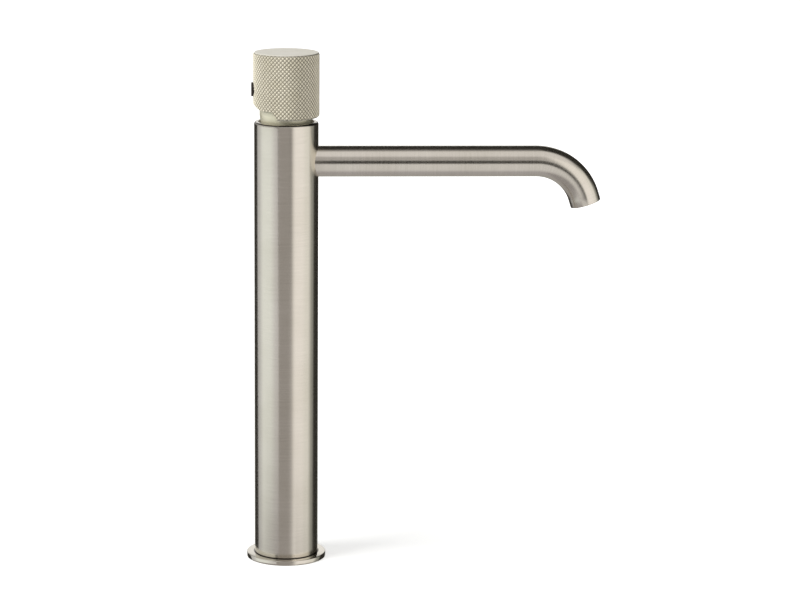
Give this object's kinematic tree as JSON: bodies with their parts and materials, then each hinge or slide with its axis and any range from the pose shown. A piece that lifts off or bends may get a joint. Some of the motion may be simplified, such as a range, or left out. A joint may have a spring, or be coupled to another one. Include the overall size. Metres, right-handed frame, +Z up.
{
  "type": "basin mixer tap",
  "caption": "Tall single-hole basin mixer: slim round column, round horizontal spout bent down at its end, and a knurled joystick knob on top.",
  "frame": {"origin": "on the column's axis in the plane of the deck that the base flange stands on", "axes": "+Z up the column, +X along the spout, away from the column"},
  "size_m": [0.221, 0.0498, 0.322],
  "materials": {
    "brushed_nickel": "satin brushed nickel plate on brass",
    "cream_nickel": "matt champagne-cream metallic, knurled on the knob",
    "bare_brass": "machined brass",
    "copper_pipe": "drawn copper pipe",
    "stainless": "turned stainless steel",
    "rubber": "black EPDM rubber",
    "acetal": "moulded acetal",
    "alumina": "lapped alumina",
    "dark_plug": "dark grey-brown moulded plug"
  },
  "bodies": {
    "body": {"aerator_housing": "acetal", "aerator_insert": "acetal", "aerator_screen": "acetal", "aerator_seal": "rubber", "base_flange": "brushed_nickel", "base_gasket": "rubber", "cartridge_base": "acetal", "cartridge_housing": "acetal", "cartridge_nut": "bare_brass", "cartridge_seals": "rubber", "column_body": "brushed_nickel", "dome_cover": "cream_nickel", "fixed_disc": "alumina", "foot_insert": "bare_brass", "inlet_socket_cold": "bare_brass", "inlet_socket_hot": "bare_brass", "riser_cold": "copper_pipe", "riser_hot": "copper_pipe", "riser_seals": "rubber", "spout_grub_screw": "stainless", "spout_nipple": "bare_brass", "spout_seals": "rubber", "spout_sleeve": "bare_brass", "spout_tube": "brushed_nickel", "temperature_stop": "acetal", "valve_body": "bare_brass"},
    "rotor": {"turret": "acetal", "turret_seal": "rubber", "pivot_pin": "stainless"},
    "slider": {"moving_disc": "alumina", "disc_carrier": "acetal"},
    "handle": {"lever": "stainless", "knob_shell": "cream_nickel", "knob_insert": "bare_brass", "knob_set_screw": "stainless", "index_plug": "dark_plug"}
  },
  "joints": [
    {"name": "temperature_turn", "type": "hinge", "parent": "body", "child": "rotor", "pos_m": [0, 0, 0.284], "axis": [0, 0, 1], "range_deg": [-50, 50]},
    {"name": "flow_tilt", "type": "hinge", "parent": "rotor", "child": "handle", "pos_m": [0, 0, 0.284], "axis": [0, -1, 0], "range_deg": [0, 22]},
    {"name": "disc_slide", "type": "slide", "parent": "rotor", "child": "slider", "axis": [1, 0, 0], "range_m": [0, 0.00457]}
  ],
  "couplings": [
    {"joint": "disc_slide", "follows": "flow_tilt", "m_per_rad": 0.0119}
  ]
}
